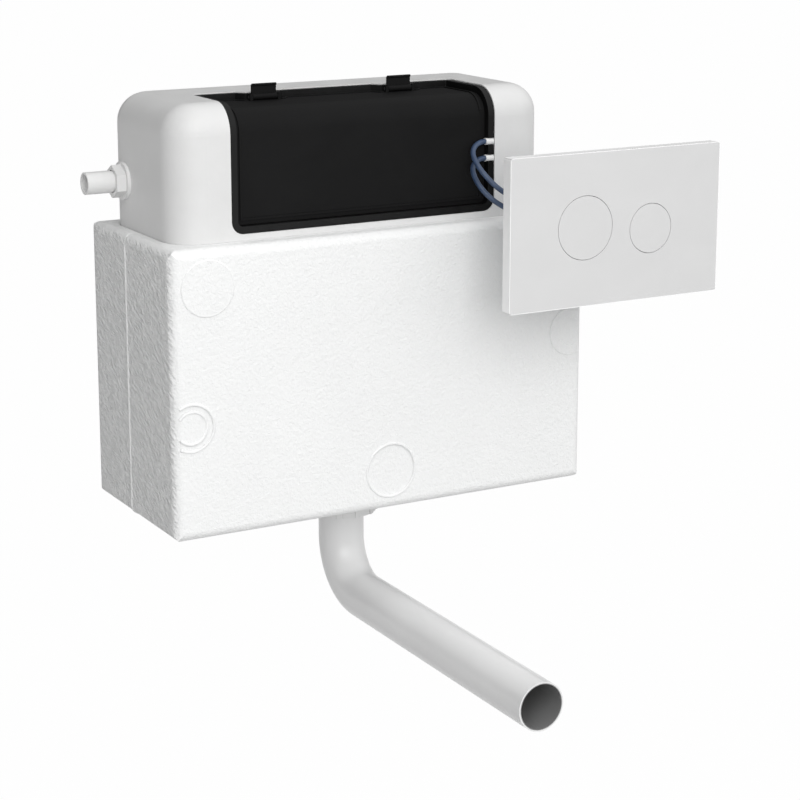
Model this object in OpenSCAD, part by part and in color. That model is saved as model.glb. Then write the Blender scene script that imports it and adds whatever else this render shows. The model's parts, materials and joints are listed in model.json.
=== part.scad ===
// Concealed toilet cistern: a moulded tank in a foam jacket, with fill valve, flush valve, flush pipe
// and an air-operated dual-flush plate on two hoses.
// The origin is the middle of the jacket's back, on the wall. +X is right, +Y into the wall, +Z up.

/* [Tank] */
// Width of the tank
tank_w = 392; // [360:1:440]
// Depth of the tank
tank_d = 158; // [150:1:190]
// Height of the tank
tank_h = 373; // [360:1:420]
// Wall of the tank
tank_wall = 3.5; // [2.5:0.1:4.5]
// Radius of the tank's upright corners
tank_corner_r = 32; // [30:1:40]
// Radius of the tank's top edges
tank_edge_r = 28; // [24:1:30]
// Radius of the tank's bottom edges
tank_base_r = 10; // [6:1:14]

/* [Jacket] */
// Height of the foam jacket
jacket_h = 270; // [250:1:280]
// Foam wall left of the tank
jacket_left = 14.5; // [12:0.5:30]
// Foam wall right of the tank
jacket_right = 32.5; // [12:0.5:40]
// Foam wall in front of the tank
jacket_front_wall = 19.5; // [14:0.5:30]
// Foam wall behind the tank
jacket_back = 11.5; // [9:0.5:20]
// Foam floor under the tank
jacket_floor = 22; // [18:1:26]
// Room between the foam and the tank's sides
jacket_gap = 0.5; // [0.3:0.1:1]
// Depth of the front half, up to the joint between the halves
jacket_front_d = 105; // [90:1:120]
// Rounding of the jacket's edges
jacket_edge_r = 9; // [5:0.5:10]
// Width of the bevel on the rear half, along the joint between the halves
seam_bevel = 1.6; // [0.8:0.1:2.5]
// Step of the mould marks on the front
mark_step = 1; // [0.5:0.1:2]

/* [Hatch] */
// Width of the hatch opening
hatch_w = 278; // [250:1:290]
// Offset of the hatch from the tank's middle
hatch_shift = -2; // [-8:1:8]
// Height of the hatch's lower edge above the jacket
hatch_sill = 6; // [5:0.5:12]
// Reach of the hatch back over the tank's top, from its front
hatch_depth = 88; // [80:1:100]
// Radius of the hatch's lower corners
hatch_r = 12; // [9:0.5:16]
// Depth of the cover's face below the tank's surface
panel_sink = 7; // [6.9:0.1:8]
// Thickness of the cover
panel_t = 3; // [2:0.1:4]
// Thickness of the seal under the cover
seal_t = 2; // [1:0.1:3]
// Width of the seal's visible border
seal_border = 6.5; // [6:0.1:8]
// Width of the ledge that carries the seal
ledge_w = 11; // [10:0.5:14]
// Room round the cover inside the seal's border
cover_room = 0.6; // [0.3:0.1:1]
// Width of a clip's finger tab
clip_w = 25; // [20:1:30]
// Height of a clip's finger tab above its pin
clip_h = 18; // [12:1:22]
// Distance between the clips
clip_pitch = 144; // [110:1:180]
// Radius of a clip's hinge pin
clip_pin_r = 1.5; // [1:0.1:2]
// Reach of the tank's tongue at each clip
tongue = 8; // [5:0.5:10]

/* [Inlet and fill valve] */
// Distance of the inlet from the tank's back
inlet_inset = 38; // [34:1:50]
// Height of the inlet above the jacket
inlet_rise = 44; // [40:1:60]
// Reach of the inlet spigot out of the tank
inlet_reach = 39; // [30:1:50]
// Radius of the inlet spigot, for a half-inch pipe thread
spigot_r = 10.48; // [10:0.01:11]
// Radius of the water way in the spigot
spigot_bore_r = 8.5; // [6:0.1:8.8]
// Hexagon of the inlet nut across its flats
inlet_nut_af = 27; // [26:0.5:32]
// Radius of the inlet washer
inlet_washer_r = 18; // [17.5:0.5:22]
// Radius of the valve's head
head_r = 14; // [13.5:0.1:16]
// Slope of the float arm at rest, with the tank empty
arm_slope = 18; // [12:1:20]
// Length of the float arm
arm_len = 62; // [56:1:66]
// Length of the float's hanging rod below the arm
float_drop = 35; // [30:1:38]
// Height of the float
float_h = 48; // [40:1:52]

/* [Flush valve and outlet] */
// Distance of the outlet from the tank's front
outlet_inset = 78; // [74:1:90]
// Radius of the valve's threaded tail
tail_r = 30; // [28:0.5:31]
// Radius of the water way in the tail
tail_bore_r = 25; // [24:0.1:26]
// Length of the tail below the tank
tail_len = 37; // [34:1:42]
// Height of the valve cage
cage_h = 120; // [110:1:130]
// Radius of the overflow tube
overflow_r = 16; // [13:0.5:16.2]
// Drop of the overflow tube's rim below the hatch
overflow_drop = 12; // [8:1:20]
// Lift of the flush valve
valve_lift = 20; // [12:1:20]
// Distance of each air piston from the valve's middle
piston_offset = 30; // [30:0.5:31]
// Radius of the air pistons' bore
piston_bore_r = 11.3; // [10:0.1:11.4]

/* [Flush pipe] */
// Outside radius of the flush pipe
pipe_r = 22.5; // [20:0.5:23]
// Wall of the flush pipe
pipe_wall = 2; // [1.5:0.1:3]
// Bend radius of the pipe's middle line
pipe_bend_r = 50; // [40:1:60]
// Drop of the pipe's level run below the jacket
pipe_drop = 102.5; // [100:0.5:140]
// Reach of the pipe's end in front of the jacket
pipe_reach = 271; // [200:1:320]

/* [Flush plate] */
// Width of the plate
plate_w = 236; // [210:1:260]
// Height of the plate
plate_h = 145; // [130:1:170]
// Thickness of the plate
plate_t = 12; // [11:0.5:15]
// Wall of the plate
plate_skin = 2.5; // [2:0.1:3]
// Corner radius of the plate
plate_r = 3; // [2.6:0.1:8]
// Distance of the plate's face in front of the jacket
plate_reach = 90; // [88:1:120]
// Place of the plate's middle, to the right of the jacket's middle
plate_x = 195; // [180:1:230]
// Height of the plate's middle above the jacket's floor
plate_rise = 271; // [250:1:290]
// Radius of the full-flush button
full_button_r = 30; // [28:0.5:34]
// Radius of the half-flush button
half_button_r = 23.5; // [22:0.5:26]
// Hairline gap round a button
button_gap = 0.5; // [0.3:0.1:1]
// Distance between the buttons' middles
button_pitch = 74; // [70:1:84]
// Travel of a button
button_travel = 5; // [3:0.5:5.2]

/* [Air hoses] */
// Outside radius of the hoses
hose_r = 2.5; // [2:0.1:3]
// Drop of the upper hose elbow below the rounding of the tank's top edge
elbow_drop = 24; // [14:1:26]
// Distance between the hose elbows
elbow_pitch = 16; // [12:0.5:20]
// Radius of an elbow's visible spigot
elbow_r = 3.25; // [3:0.05:3.3]

/* [Hidden] */
$fn = 64;
far = 600;
clear = 0.3;
slack = 0.4;

// Jacket and tank, from the wall and the jacket's middle
jacket_w = tank_w + 2 * jacket_gap + jacket_left + jacket_right;
jacket_d = tank_d + 2 * jacket_gap + jacket_front_wall + jacket_back;
jacket_z0 = -jacket_h / 2;
jacket_z1 = jacket_h / 2;
seam_y = -jacket_d + jacket_front_d;
tank_x0 = -jacket_w / 2 + jacket_left + jacket_gap;
tank_cx = tank_x0 + tank_w / 2;
tank_y1 = -jacket_back - jacket_gap;
tank_y0 = tank_y1 - tank_d;
tank_cy = (tank_y0 + tank_y1) / 2;
tank_z0 = jacket_z0 + jacket_floor;
tank_z1 = tank_z0 + tank_h;
floor_z = tank_z0 + tank_wall;

// Mould marks on the jacket's front: place from its left lower corner, outer and inner radius
raised_marks = [[36, 234, 25, 0], [425, 152, 23, 15]];
sunk_marks = [[223, 38.5, 26, 0], [18, 107, 22, 15]];
mark_edge = 6;

// Wall fixings: bosses on the tank's back above the jacket
fixing_pitch = 250;
fixing_rise = 70;
fixing_hole_r = 3.6;
fixing_boss_r = 10;
fixing_z = jacket_z1 + fixing_rise;

// Hatch
hatch_x0 = tank_cx + hatch_shift - hatch_w / 2;
hatch_x1 = hatch_x0 + hatch_w;
hatch_z0 = jacket_z1 + hatch_sill;
hatch_y1 = tank_y0 + hatch_depth;
hatch_back_r = 6;
panel_in = panel_sink + panel_t;
ledge_in = panel_in + seal_t;
border_in = seal_border + clear + cover_room;
seal_proud = 1;
ridge_step = 1;
ridge_w = 2;
ridge_edge = 4;
skirt_room = 1;
skirt_t = 2.5;
skirt_drop = 8;
tongue_w = clip_w + 4;
tongue_slant = 7;
clip_xs = [for (side = [-1, 1]) tank_cx + hatch_shift + side * clip_pitch / 2];
clip_barrel_r = clip_pin_r + 1.5;
clip_y = hatch_y1 - tongue - border_in - clip_barrel_r - 1;
clip_z = tank_z1 - panel_sink + clip_barrel_r + slack;
clip_tab_t = 2.5;
lug_t = 3;

// Fill valve, along X through the tank's left wall
inlet_y = tank_y1 - inlet_inset;
inlet_z = jacket_z1 + inlet_rise;
spigot_x = tank_x0 - inlet_reach;
inlet_nut_t = 9;
inlet_washer_t = 3;
shank_r = spigot_r - 0.5;
shank_x = tank_x0 - inlet_washer_t - inlet_nut_t - 2;
inlet_pad_r = inlet_washer_r + 1.5;
inlet_seal_t = 2;
collar_t = 4;
collar_r = 17;
collar_x0 = tank_x0 + tank_wall + inlet_seal_t;
head_x0 = collar_x0 + collar_t;
head_len = 36;
head_x1 = head_x0 + head_len;
chamber_r = head_r - 3;
chamber_len = 18;
nozzle_r = 5;
nozzle_bore_r = 2.5;
port_r = 8;
port_bore_r = 6;
port_len = 34;
port_collar_z0 = -head_r - 3;
fill_tube_wall = 1.8;
port_x = head_x1 - port_r - fill_tube_wall - clear;
fill_tube_foot = 45;
diaphragm_t = 2;
cap_plate_t = 8;
cap_wall = 3;
cap_skirt = 9;
cap_x1 = head_x1 + diaphragm_t + cap_plate_t;
plunger_r = 2.5;
plunger_stroke = 4.2;
cam_reach = 3;
pivot_gap = 12;
pivot_x = cap_x1 + pivot_gap;
pivot_drop = 5;
pivot_pin_r = 2;
arm_w = 8;
cam_w = 7;
beam_w = 6;
arm_h = 5;
arm_hub_r = 3.8;
socket_h = 14;
ear_t = 3;
ear_h = 10;
ear_y = arm_w / 2 + slack;
rod_r = 3;
rod_head_r = 5;
float_w = 56;
float_d = 44;
float_r = 8;

// Flush valve, upright over the outlet
outlet_y = tank_y0 + outlet_inset;
seat_washer_t = 2;
seat_flange = 16;
seat_r = tail_r + seat_flange;
seat_z0 = floor_z + seat_washer_t;
seat_t = 5;
seat_z1 = seat_z0 + seat_t;
lip_h = 3.5;
lip_r = tail_bore_r + 1;
lip_w = 3;
cage_ring_h = 4;
cage_r = seat_r - 2;
cage_post = [7, 9];
cage_post_r = cage_r - cage_post[0] / 2 - 1;
cage_plate_z = floor_z + cage_h;
cage_plate_t = 5;
cup_floor_z = cage_plate_z + cage_plate_t;
cup_floor_t = 2;
cup_wall = 1.7;
cup_h = 40;
cup_cap_t = 3;
cup_top_z = cup_floor_z + cup_h;
piston_head_t = 6;
piston_rod_r = 4;
piston_rest = 1;
barb_r = 2.4;
barb_len = 9;
barb_bore_r = 1.2;
barb_z = cup_floor_z + 7;
seal_rest_z = seat_z1 + lip_h + clear;
flush_seal_t = 4;
flush_seal_r = lip_r + lip_w + 2;
tube_wall = 2;
tube_spigot_r = overflow_r - 2;
tube_flange_t = 3;
tube_flange_r = overflow_r + 8;
tube_z0 = seal_rest_z + flush_seal_t;
overflow_z = hatch_z0 - overflow_drop;
lifter_z = cup_top_z + cup_cap_t + 4;
lifter_t = 6;
half_lift = 0.75 * valve_lift;
shoulder_t = 3;

// Outlet below the tank
outlet_nut_t = 14;
outlet_nut_r = tail_r + 11;
outlet_pocket_r = outlet_nut_r + 7;
tail_z = tank_z0 - tail_len;
pipe_insert = 20;
pipe_seal_t = 7;
pipe_nut_skirt = 14;
pipe_nut_wall = 5;
pipe_nut_lip = 4;
pipe_run_z = jacket_z0 - pipe_drop;
pipe_end_y = -jacket_d - pipe_reach;

// Flush plate and the parts behind it
plate_y = -jacket_d - plate_reach;
plate_z = jacket_z0 + plate_rise;
plate_back_y = plate_y + plate_t;
frame_room = 0.2;
frame_hole_r = 2.2;
frame_hole_inset = 15;
frame_hole_pitch = plate_w - 2 * frame_hole_inset;
post_w = 8;
button_lift = 2;
full_shift = 35.3;
full_x = plate_x - full_shift;
full_z = plate_z + button_lift;
half_x = full_x + button_pitch;
half_z = full_z - full_button_r + half_button_r;
button_t = 2.6;
frame_y = plate_y + button_t + button_travel + slack;
collar_wall = 2;
collar_y = plate_y + plate_skin + 4;
full_stem_r = 20;
half_stem_r = 15;
stem_wall = 3;
stem_end_y = plate_back_y + clear;
cup_room = 2.5;
pump_wall = 2;
pump_depth = 18;
pump_floor_t = 2;
pump_flange_t = 2;
pump_rim = 0.6;
pump_barb_len = 10;
pump_end_y = plate_back_y + pump_depth + pump_floor_t + pump_barb_len;
pump_screws_n = 3;
pump_screw_r = 1.2;
pump_screw_head_r = 2.6;
pump_screw_head_t = 2;
bellows_folds = 3;
bellows_wall = 1.2;

// Hose elbows in the hatch's right border
elbow_x = hatch_x1 - 4;
elbow_y = tank_y0 + elbow_r + 0.15;
elbow_tip_x = hatch_x1 - 9;
elbow_stem_r = 2.5;
elbow_inner_y = tank_y0 + ledge_in + tank_wall + 8.5;
elbow_flange_r = 4.5;
elbow_flange_t = 2.5;
elbow_z = tank_z1 - tank_edge_r - elbow_drop;
elbow_zs = [elbow_z, elbow_z - elbow_pitch];

// Routes of the hoses, points chosen by hand
hose_sides = 10;
half_route = [[119, -166.6, 208], [111.2, -167.7, 206.9], [104.5, -171, 203.9], [100.1, -175.8, 199.4],
    [98.5, -181.6, 194], [99.5, -187.5, 187.5], [104, -194.5, 178.5], [111, -201.5, 169.5],
    [121.5, -208, 161], [137, -213, 153], [157, -216, 146], [179, -217, 140], [198, -217, 135],
    [213.2, -217.5, 132.4], [221, -219.1, 131.8], [227.7, -223.5, 131.5], [232.1, -230.2, 131.5],
    [233.7, -238, 131.5]];
full_route = [[119, -166.6, 192], [115, -166.9, 191.7], [111.2, -167.7, 190.9], [104.5, -171, 187.9],
    [100.1, -175.8, 183.4], [98.5, -181.6, 177.6], [99.5, -188, 170.5], [103.5, -194.8, 162.5],
    [110.5, -201.2, 155], [120, -207, 148.5], [132, -211.5, 143.5], [143, -214.6, 140],
    [152, -219.6, 138.4], [157.8, -227.2, 138], [159.7, -238, 138]];
inner_half_route = [[124, -146, 208], [123.1, -138.1, 206.8], [120.4, -131.5, 203.2],
    [116.4, -127.1, 197.9], [111.7, -125.5, 191.6], [103, -126, 180], [91, -127.5, 163], [77, -130, 144],
    [60, -133.5, 121], [42, -138, 97], [24, -142, 73], [8, -144, 52.5], [-6.5, -143, 36.5],
    [-19.5, -138, 26.5], [-27.5, -129.5, 23], [-30, -120, 22.5], [-30, -114, 22.5]];
inner_full_route = [[124, -146, 192], [124, -138.1, 190.4], [124, -131.5, 186], [123.7, -127.1, 179.3],
    [121.8, -125, 170], [117, -124, 155], [108, -125.5, 130], [97, -129, 105], [84, -133, 82],
    [70, -136.5, 61], [56.5, -138.5, 44.5], [44.5, -136.5, 32], [35.6, -131, 25.5], [31.2, -123.5, 23],
    [30, -114, 22.5]];

// Cylinders and rings along one axis
module x_cyl(x0, x1, r) translate([x0, 0, 0]) rotate([0, 90, 0]) cylinder(h = x1 - x0, r = r);
module y_cyl(y0, y1, r) translate([0, y0, 0]) rotate([-90, 0, 0]) cylinder(h = y1 - y0, r = r);
module z_cyl(z0, z1, r) translate([0, 0, z0]) cylinder(h = z1 - z0, r = r);

module x_ring(x0, x1, r_out, r_in) difference() {
    x_cyl(x0, x1, r_out);
    x_cyl(x0 - 1, x1 + 1, r_in);
}

module y_ring(y0, y1, r_out, r_in) difference() {
    y_cyl(y0, y1, r_out);
    y_cyl(y0 - 1, y1 + 1, r_in);
}

module z_ring(z0, z1, r_out, r_in) difference() {
    z_cyl(z0, z1, r_out);
    z_cyl(z0 - 1, z1 + 1, r_in);
}

// What a rounded corner of radius r leaves out. The corner is at the origin, the shape below and left of it
module corner_cut(r) difference() {
    translate([-r, -r]) square(r + 1);
    translate([-r, -r]) circle(r);
}

module round_rect(x0, y0, x1, y1, r) difference() {
    translate([x0, y0]) square([x1 - x0, y1 - y0]);
    translate([x1, y1]) corner_cut(r);
    translate([x0, y1]) mirror([1, 0]) corner_cut(r);
    translate([x1, y0]) mirror([0, 1]) corner_cut(r);
    translate([x0, y0]) rotate(180) corner_cut(r);
}

// Upright profile of a moulded corner: rounded outside at its top and bottom
module corner_profile(corner_r, h, top_r, base_r) difference() {
    square([corner_r, h]);
    translate([corner_r, h]) corner_cut(top_r);
    translate([corner_r, 0]) mirror([0, 1]) corner_cut(base_r);
}

// Box with rounded upright corners and rounded top and bottom edges, centred in plan on its base
module soft_box(w, d, h, corner_r, top_r, base_r) {
    mid_w = w - 2 * corner_r;
    mid_d = d - 2 * corner_r;
    translate([-mid_w / 2, 0, 0]) rotate([90, 0, 90]) linear_extrude(mid_w) difference() {
        translate([-d / 2, 0]) square([d, h]);
        for (side = [0, 1]) mirror([side, 0]) {
            translate([d / 2, h]) corner_cut(top_r);
            translate([d / 2, 0]) mirror([0, 1]) corner_cut(base_r);
        }
    }
    for (side = [0, 1]) mirror([side, 0, 0]) {
        translate([mid_w / 2, mid_d / 2, 0]) rotate([90, 0, 0]) linear_extrude(mid_d)
            corner_profile(corner_r, h, top_r, base_r);
        for (end = [0, 1]) mirror([0, end, 0]) translate([mid_w / 2, mid_d / 2, 0])
            rotate_extrude(angle = 90) corner_profile(corner_r, h, top_r, base_r);
    }
}

// The tank's outer form, drawn in by a given amount on every side
module tank_form(inset) {
    translate([tank_cx, tank_cy, tank_z0 + inset])
        soft_box(tank_w - 2 * inset, tank_d - 2 * inset, tank_h - 2 * inset, tank_corner_r - inset,
            tank_edge_r - inset, max(tank_base_r - inset, 1));
}

// Everything in front of and above the hatch's outline, drawn in by a given amount
module hatch_prism(inset) {
    x0 = hatch_x0 + inset;
    x1 = hatch_x1 - inset;
    y1 = hatch_y1 - inset;
    z0 = hatch_z0 + inset;
    lower_r = max(hatch_r - inset, 1);
    rear_r = max(hatch_back_r - inset, 1);
    intersection() {
        translate([0, far / 2, 0]) rotate([90, 0, 0]) linear_extrude(far) difference() {
            translate([x0, z0]) square([x1 - x0, far - z0]);
            translate([x1, z0]) mirror([0, 1]) corner_cut(lower_r);
            translate([x0, z0]) rotate(180) corner_cut(lower_r);
        }
        linear_extrude(far) difference() {
            translate([x0, -far]) square([x1 - x0, far + y1]);
            translate([x1, y1]) corner_cut(rear_r);
            translate([x0, y1]) mirror([1, 0]) corner_cut(rear_r);
            for (x = clip_xs) translate([x, y1]) polygon([[-tongue_w / 2 - tongue_slant - inset / 2, 1],
                [-tongue_w / 2 - inset / 2, -tongue], [tongue_w / 2 + inset / 2, -tongue],
                [tongue_w / 2 + tongue_slant + inset / 2, 1]]);
        }
    }
}

// A layer that follows the tank's surface under the hatch, between two depths below that surface
module hatch_layer(depth_0, depth_1, inset) difference() {
    intersection() {
        hatch_prism(inset);
        tank_form(depth_0);
    }
    tank_form(depth_1);
}

module at_outlet() translate([0, outlet_y, 0]) children();
module at_inlet() translate([0, inlet_y, inlet_z]) children();
module at_pivot() translate([pivot_x, inlet_y, inlet_z - pivot_drop]) children();
module at_piston(side) translate([side * piston_offset, outlet_y, 0]) children();
module at_full() translate([full_x, 0, full_z]) children();
module at_half() translate([half_x, 0, half_z]) children();

module elbow_holes() for (z = elbow_zs) translate([elbow_x, 0, z])
    y_cyl(elbow_y, elbow_inner_y + 1, elbow_stem_r + clear);

module tank() color("whitesmoke") difference() {
    union() {
        difference() {
            tank_form(0);
            tank_form(tank_wall);
        }
        hatch_layer(0, ledge_in + tank_wall, -tank_wall);
        for (side = [-1, 1]) translate([tank_cx + side * fixing_pitch / 2, 0, fixing_z])
            y_cyl(tank_y1 - tank_wall, 0, fixing_boss_r);
        at_inlet() x_cyl(tank_x0, tank_x0 + tank_wall, inlet_pad_r);
    }
    at_inlet() x_cyl(tank_x0 + tank_wall, head_x0, collar_r + slack);
    difference() {
        hatch_prism(0);
        tank_form(ledge_in);
    }
    hatch_prism(ledge_w);
    elbow_holes();
    for (side = [-1, 1]) translate([tank_cx + side * fixing_pitch / 2, 0, fixing_z])
        y_cyl(tank_y1 - tank_wall - 1, 1, fixing_hole_r);
    at_inlet() x_cyl(tank_x0 - 1, tank_x0 + tank_wall + 1, spigot_r + slack);
    at_outlet() z_cyl(tank_z0 - 1, floor_z + 1, tail_r + slack);
}

module jacket_block(shift) translate([0, shift, 0]) intersection() {
    translate([0, 0, -far / 2]) linear_extrude(far)
        round_rect(-jacket_w / 2, -jacket_d, jacket_w / 2, 0, jacket_edge_r);
    rotate([90, 0, 0]) translate([0, 0, -far / 2]) linear_extrude(far)
        round_rect(-jacket_w / 2, jacket_z0, jacket_w / 2, jacket_z1, jacket_edge_r);
    rotate([90, 0, 90]) translate([0, 0, -far / 2]) linear_extrude(far)
        round_rect(-jacket_d, jacket_z0, 0, jacket_z1, jacket_edge_r);
}

// A mark ends where the jacket's upright edges round off
module mark_ring(mark) intersection() {
    translate([mark[0] - jacket_w / 2, 0, mark[1] + jacket_z0]) difference() {
        y_cyl(-jacket_d - 5, -jacket_d + jacket_front_wall / 2, mark[2]);
        if (mark[3] > 0) y_cyl(-jacket_d - 6, 0, mark[3]);
    }
    translate([-jacket_w / 2 + mark_edge, -far, -far / 2]) cube([jacket_w - 2 * mark_edge, far, far]);
}

// Section of what the bevel leaves out, at an edge that stands at a given distance from its middle
module bevel_cut(edge) polygon([[edge - seam_bevel, 0], [edge + 1, 0], [edge + 1, seam_bevel + 1]]);

// Bevel round the rear half's edge, where it meets the front half
module seam_groove() translate([0, seam_y, 0]) rotate([90, 0, 0]) mirror([0, 0, 1]) {
    side_w = jacket_w / 2 - jacket_edge_r;
    side_h = jacket_h / 2 - jacket_edge_r;
    for (turn = [0, 180]) rotate(turn) {
        rotate([90, 0, 0]) translate([0, 0, -side_h]) linear_extrude(2 * side_h) bevel_cut(jacket_w / 2);
        rotate(90) rotate([90, 0, 0]) translate([0, 0, -side_w]) linear_extrude(2 * side_w)
            bevel_cut(jacket_h / 2);
        translate([side_w, side_h, 0]) rotate_extrude(angle = 90) bevel_cut(jacket_edge_r);
        translate([-side_w, side_h, 0]) rotate(90) rotate_extrude(angle = 90) bevel_cut(jacket_edge_r);
    }
}

module jacket_room() {
    translate([tank_cx, tank_cy, tank_z0])
        soft_box(tank_w + 2 * jacket_gap, tank_d + 2 * jacket_gap, tank_h, tank_corner_r + jacket_gap,
            tank_edge_r, tank_base_r + jacket_gap);
    at_outlet() z_cyl(jacket_z0 - 1, tank_z0 + 1, outlet_pocket_r);
}

module jacket_front() color("white") difference() {
    union() {
        jacket_block(0);
        for (mark = raised_marks) intersection() {
            mark_ring(mark);
            jacket_block(-mark_step);
        }
    }
    for (mark = sunk_marks) difference() {
        mark_ring(mark);
        jacket_block(mark_step);
    }
    translate([-far / 2, seam_y, -far / 2]) cube(far);
    jacket_room();
}

module jacket_rear() color("white") difference() {
    jacket_block(0);
    translate([-far / 2, seam_y - far, -far / 2]) cube(far);
    seam_groove();
    jacket_room();
}

module cover_seal() color("#161616") difference() {
    union() {
        difference() {
            hatch_layer(seal_proud, panel_in + clear, clear);
            hatch_prism(clear + seal_border);
        }
        difference() {
            hatch_layer(panel_in + clear, ledge_in, clear);
            hatch_prism(ledge_w);
        }
    }
    elbow_holes();
    for (z = elbow_zs) translate([elbow_tip_x - 1, tank_y0 - 1, z - elbow_r - clear])
        cube([hatch_x1 - elbow_tip_x + 1, panel_sink + 1 - slack, 2 * (elbow_r + clear)]);
}

module access_cover() color("#262626") {
    hatch_layer(panel_sink, panel_in, border_in);
    difference() {
        hatch_layer(panel_sink - ridge_step, panel_sink, border_in + ridge_edge);
        hatch_prism(border_in + ridge_edge + ridge_w);
        translate([elbow_tip_x - 8, tank_y0 - 1, elbow_zs[1] - 8])
            cube([far, panel_sink + 1, far]);
        for (x = clip_xs) translate([x - clip_w / 2 - lug_t - 2, clip_y - clip_barrel_r - 2, clip_z - 5])
            cube([clip_w + 2 * lug_t + 4, 2 * clip_barrel_r + 4, 5]);
    }
    difference() {
        hatch_layer(panel_in, panel_in + skirt_drop, ledge_w + skirt_room);
        hatch_prism(ledge_w + skirt_room + skirt_t);
    }
    for (x = clip_xs, side = [0, 1]) translate([x, clip_y, clip_z]) mirror([side, 0, 0]) difference() {
        translate([clip_w / 2 + slack, -clip_barrel_r, -clip_barrel_r - slack])
            cube([lug_t, 2 * clip_barrel_r, 2 * clip_barrel_r + slack]);
        x_cyl(0, clip_w, clip_pin_r);
    }
}

module clip(x) color("#1b1b1b") translate([x, clip_y, clip_z]) difference() {
    union() {
        x_cyl(-clip_w / 2, clip_w / 2, clip_barrel_r);
        translate([-clip_w / 2, clip_barrel_r - clip_tab_t, 0]) cube([clip_w, clip_tab_t, clip_h]);
        translate([0, clip_barrel_r - clip_tab_t, clip_h]) x_cyl(-clip_w / 2, clip_w / 2, clip_tab_t / 2);
    }
    x_cyl(-clip_w, clip_w, clip_pin_r + clear);
}

module clip_left() clip(clip_xs[0]);
module clip_right() clip(clip_xs[1]);

module clip_pins() color("silver") for (x = clip_xs) translate([x, clip_y, clip_z])
    x_cyl(-clip_w / 2 - slack - lug_t, clip_w / 2 + slack + lug_t, clip_pin_r);

module inlet_nut() color("whitesmoke") at_inlet() difference() {
    translate([tank_x0 - inlet_washer_t - inlet_nut_t, 0, 0]) rotate([0, 90, 0])
        cylinder(h = inlet_nut_t, r = inlet_nut_af / 2 / cos(30), $fn = 6);
    x_cyl(spigot_x, tank_x0, spigot_r + clear / 2);
}

module inlet_washer() color("whitesmoke") at_inlet()
    x_ring(tank_x0 - inlet_washer_t, tank_x0, inlet_washer_r, spigot_r + slack);

module inlet_seal() color("#202020") at_inlet()
    x_ring(tank_x0 + tank_wall, collar_x0, collar_r, spigot_r + slack);

module fill_valve_body() color("white") at_inlet() difference() {
    union() {
        x_cyl(spigot_x, shank_x, spigot_r);
        x_cyl(shank_x, collar_x0, shank_r);
        x_cyl(collar_x0, head_x0, collar_r);
        difference() {
            x_cyl(head_x0, head_x1, head_r);
            x_cyl(head_x1 - chamber_len, head_x1 + 1, chamber_r);
        }
        x_cyl(head_x1 - chamber_len - 1, head_x1 - 1, nozzle_r);
        difference() {
            translate([port_x, 0, 0]) {
                z_cyl(-port_len, -chamber_r, port_r);
                z_cyl(port_collar_z0, -chamber_r, port_r + fill_tube_wall);
            }
            x_cyl(head_x1 - chamber_len, head_x1, chamber_r);
        }
    }
    x_cyl(spigot_x - 1, head_x1 - chamber_len - 4, spigot_bore_r);
    x_cyl(spigot_x, head_x1, nozzle_bore_r);
    translate([port_x, 0, 0]) z_cyl(-port_len - 1, -nozzle_r - 1, port_bore_r);
}

module fill_valve_diaphragm() color("#303030") at_inlet()
    x_cyl(head_x1, head_x1 + diaphragm_t, head_r - clear);

module fill_valve_cap() color("gainsboro") at_inlet() difference() {
    union() {
        x_ring(head_x1 - cap_skirt, head_x1 + diaphragm_t, head_r + cap_wall, head_r + clear);
        x_cyl(head_x1 + diaphragm_t, cap_x1, head_r + cap_wall);
        for (side = [0, 1]) mirror([0, side, 0]) translate([cap_x1 - 1, ear_y, -pivot_drop - ear_h / 2])
            cube([pivot_x - cap_x1 + ear_h / 2 + 1, ear_t, ear_h]);
    }
    x_cyl(head_x1, cap_x1 + 1, plunger_r + clear);
    translate([port_x, 0, port_collar_z0 - 1]) z_cyl(0, head_r, port_r + fill_tube_wall + clear);
    translate([pivot_x, 0, -pivot_drop]) y_cyl(-far, far, pivot_pin_r);
}

module valve_plunger() color("white") at_inlet()
    x_cyl(head_x1 + diaphragm_t + plunger_stroke + clear, pivot_x - cam_reach - clear, plunger_r);

module at_arm_end() at_pivot() rotate([0, arm_slope, 0]) translate([arm_len, 0, 0]) children();

module float_arm() color("white") difference() {
    union() {
        at_pivot() {
            y_cyl(-arm_w / 2, arm_w / 2, arm_hub_r);
            translate([-cam_reach, -cam_w / 2, 0]) cube([cam_reach + 1, cam_w, pivot_drop + plunger_r + 1]);
            rotate([0, arm_slope, 0]) translate([1, -beam_w / 2, -arm_h / 2])
                cube([arm_len - 3, beam_w, arm_h]);
        }
        at_arm_end() z_cyl(-socket_h / 2, socket_h / 2, rod_r + 3);
    }
    at_pivot() y_cyl(-arm_w, arm_w, pivot_pin_r + clear);
    at_arm_end() z_cyl(-socket_h, socket_h, rod_r + clear / 3);
}

module arm_pin() color("silver") at_pivot() y_cyl(-ear_y - ear_t, ear_y + ear_t, pivot_pin_r);

module float_rod() color("white") at_arm_end() {
    z_cyl(-float_drop, socket_h / 2, rod_r);
    z_cyl(socket_h / 2, socket_h / 2 + 3, rod_head_r);
}

module float() color("#e8e8e4") at_arm_end() translate([0, 0, -float_drop - float_h])
    soft_box(float_w, float_d, float_h, float_r, float_r - 2, float_r - 4);

module fill_tube() color("white") at_inlet() translate([port_x, 0, 0])
    z_ring(floor_z + fill_tube_foot - inlet_z, port_collar_z0, port_r + fill_tube_wall, port_r + clear / 2);

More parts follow.
